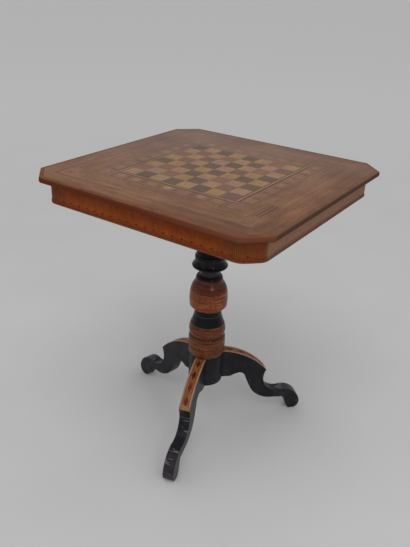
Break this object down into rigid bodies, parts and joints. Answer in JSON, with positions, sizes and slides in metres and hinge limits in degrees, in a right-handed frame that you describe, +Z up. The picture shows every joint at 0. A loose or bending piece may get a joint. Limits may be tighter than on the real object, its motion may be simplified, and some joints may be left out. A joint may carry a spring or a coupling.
{
  "type": "pedestal game table",
  "caption": "Tilting square table top with canted corners and an inlaid chessboard, above a shallow frieze, on a turned column with scrolled tripod legs.",
  "frame": {"origin": "on the floor, on the axis of the turned column", "axes": "+Z up along the column; -Y towards the front edge of the top and +X towards its right edge, which are the two edges nearest the camera in the picture"},
  "size_m": [0.596, 0.588, 0.7],
  "materials": {
    "softwood": "plain, oxidised",
    "moulding_wood": "polished",
    "light_square_veneer": "polished",
    "dark_square_veneer": "polished",
    "light_line_veneer": "polished",
    "dark_line_veneer": "polished",
    "mosaic_ground_veneer": "polished",
    "mosaic_lozenge_veneer": "polished",
    "field_veneer": "polished",
    "striped_veneer": "polished",
    "corner_square_veneer": "polished",
    "margin_veneer": "polished",
    "frieze_veneer": "polished",
    "bead_wood": "polished",
    "ebonised_wood": "ebonised, satin",
    "olive_wood": "polished",
    "leg_veneer": "polished",
    "leg_tip_veneer": "polished",
    "beech": "plain",
    "iron": "dull",
    "steel_screw": "dull",
    "brass_screw": "dull"
  },
  "bodies": {
    "pedestal": {"tilt_block": "beech", "pivot_pins": "iron", "tenon_wedge": "beech", "upper_shaft": "ebonised_wood", "capital": "ebonised_wood", "upper_drum": "olive_wood", "waist": "ebonised_wood", "lower_drum": "olive_wood", "hub": "ebonised_wood", "pendant": "ebonised_wood", "leg_front": "ebonised_wood", "leg_right": "ebonised_wood", "leg_left": "ebonised_wood", "leg_veneer_front": "leg_veneer", "leg_veneer_right": "leg_veneer", "leg_veneer_left": "leg_veneer", "leg_tips": "leg_tip_veneer"},
    "top": {"top_board": "softwood", "edge_moulding_front": "moulding_wood", "edge_moulding_right": "moulding_wood", "edge_moulding_back": "moulding_wood", "edge_moulding_left": "moulding_wood", "corner_moulding_front_right": "moulding_wood", "corner_moulding_back_right": "moulding_wood", "corner_moulding_back_left": "moulding_wood", "corner_moulding_front_left": "moulding_wood", "light_squares": "light_square_veneer", "dark_squares": "dark_square_veneer", "light_stringing": "light_line_veneer", "dark_stringing": "dark_line_veneer", "mosaic_ground": "mosaic_ground_veneer", "mosaic_lozenges": "mosaic_lozenge_veneer", "inner_field": "field_veneer", "line_band": "striped_veneer", "band_corners": "corner_square_veneer", "edge_line": "light_line_veneer", "margin_veneer": "margin_veneer", "frieze_front": "softwood", "frieze_right": "softwood", "frieze_back": "softwood", "frieze_left": "softwood", "frieze_corner_front_right": "softwood", "frieze_corner_back_right": "softwood", "frieze_corner_back_left": "softwood", "frieze_corner_front_left": "softwood", "frieze_veneer": "frieze_veneer", "frieze_bead": "bead_wood", "glue_blocks": "softwood", "bearer_front": "beech", "bearer_back": "beech", "bearer_screws": "steel_screw", "batten_screws": "steel_screw", "button_batten": "beech", "button_screw": "brass_screw"},
    "turn_button": {"turn_button": "beech"}
  },
  "joints": [
    {"name": "top_tilt", "type": "hinge", "parent": "pedestal", "child": "top", "pos_m": [0.085, 0, 0.673], "axis": [0, 1, 0], "range_deg": [0, 90]},
    {"name": "button_turn", "type": "hinge", "parent": "top", "child": "turn_button", "pos_m": [-0.115, 0, 0.656], "axis": [0, 0, -1], "range_deg": [0, 90]}
  ]
}
